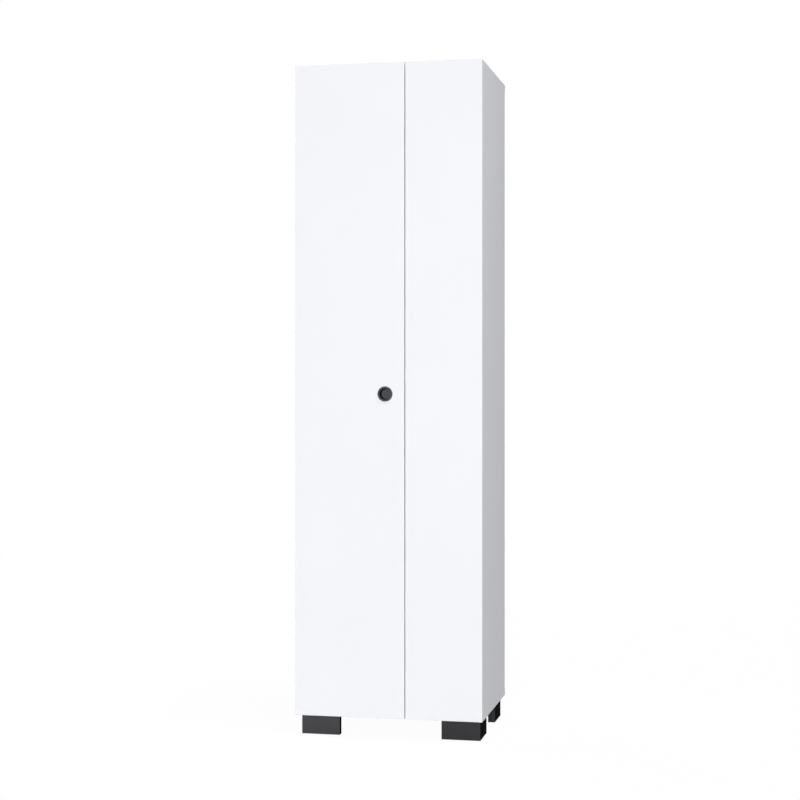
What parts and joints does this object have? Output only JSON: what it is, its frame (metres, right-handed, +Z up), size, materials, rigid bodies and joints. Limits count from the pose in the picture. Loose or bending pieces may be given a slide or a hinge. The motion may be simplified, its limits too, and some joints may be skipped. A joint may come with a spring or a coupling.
{
  "type": "broom cupboard",
  "caption": "Tall narrow cupboard with a wide and a narrow full-height door, a round recessed finger pull, a broom bay, a shelved bay and L-shaped feet.",
  "frame": {"origin": "on the floor, in the middle of the footprint", "axes": "+Z up, +Y to the wall behind, -Y out of the doors, +X to the right of someone who faces the doors"},
  "size_m": [0.5, 0.406, 1.77],
  "materials": {
    "white_board": "white melamine, satin",
    "white_sheet": "white lacquered fibreboard",
    "foot_plastic": "anthracite, matt",
    "pull_plastic": "anthracite, fine grain",
    "hinge_steel": "nickel plated",
    "zinc": "zinc die casting",
    "bumper_silicone": "clear silicone"
  },
  "bodies": {
    "carcass": {"bottom_board": "white_board", "top_board": "white_board", "left_side": "white_board", "right_side": "white_board", "divider": "white_board", "back_panel": "white_sheet", "hat_shelf": "white_board", "fixed_shelf": "white_board", "lower_shelf": "white_board", "upper_shelf": "white_board", "lower_shelf_support_left_front": "zinc", "lower_shelf_support_left_rear": "zinc", "lower_shelf_support_right_front": "zinc", "lower_shelf_support_right_rear": "zinc", "upper_shelf_support_left_front": "zinc", "upper_shelf_support_left_rear": "zinc", "upper_shelf_support_right_front": "zinc", "upper_shelf_support_right_rear": "zinc", "left_side_cam_lock_bottom_front": "zinc", "left_side_cam_lock_bottom_rear": "zinc", "left_side_cam_lock_top_front": "zinc", "left_side_cam_lock_top_rear": "zinc", "right_side_cam_lock_bottom_front": "zinc", "right_side_cam_lock_bottom_rear": "zinc", "right_side_cam_lock_top_front": "zinc", "right_side_cam_lock_top_rear": "zinc", "divider_cam_lock_bottom_front": "zinc", "divider_cam_lock_bottom_rear": "zinc", "divider_cam_lock_top_front": "zinc", "divider_cam_lock_top_rear": "zinc", "foot_front_left": "foot_plastic", "foot_front_right": "foot_plastic", "foot_rear_left": "foot_plastic", "foot_rear_right": "foot_plastic", "left_hinge_plate_top": "hinge_steel", "left_hinge_plate_middle": "hinge_steel", "left_hinge_plate_bottom": "hinge_steel", "right_hinge_plate_top": "hinge_steel", "right_hinge_plate_middle": "hinge_steel", "right_hinge_plate_bottom": "hinge_steel", "left_hinge_arm_top": "hinge_steel", "left_hinge_arm_middle": "hinge_steel", "left_hinge_arm_bottom": "hinge_steel", "right_hinge_arm_top": "hinge_steel", "right_hinge_arm_middle": "hinge_steel", "right_hinge_arm_bottom": "hinge_steel"},
    "left_leaf": {"left_door": "white_board", "finger_pull": "pull_plastic", "left_hinge_cup_top": "hinge_steel", "left_hinge_cup_middle": "hinge_steel", "left_hinge_cup_bottom": "hinge_steel", "left_door_bumper_bottom": "bumper_silicone", "left_door_bumper_top": "bumper_silicone"},
    "right_leaf": {"right_door": "white_board", "right_hinge_cup_top": "hinge_steel", "right_hinge_cup_middle": "hinge_steel", "right_hinge_cup_bottom": "hinge_steel", "right_door_bumper_bottom": "bumper_silicone", "right_door_bumper_top": "bumper_silicone"}
  },
  "joints": [
    {"name": "left_door_hinge", "type": "hinge", "parent": "carcass", "child": "left_leaf", "pos_m": [-0.2435, -0.195, 0.9125], "axis": [0, 0, -1], "range_deg": [0, 95]},
    {"name": "right_door_hinge", "type": "hinge", "parent": "carcass", "child": "right_leaf", "pos_m": [0.2435, -0.195, 0.9125], "axis": [0, 0, 1], "range_deg": [0, 95]}
  ]
}
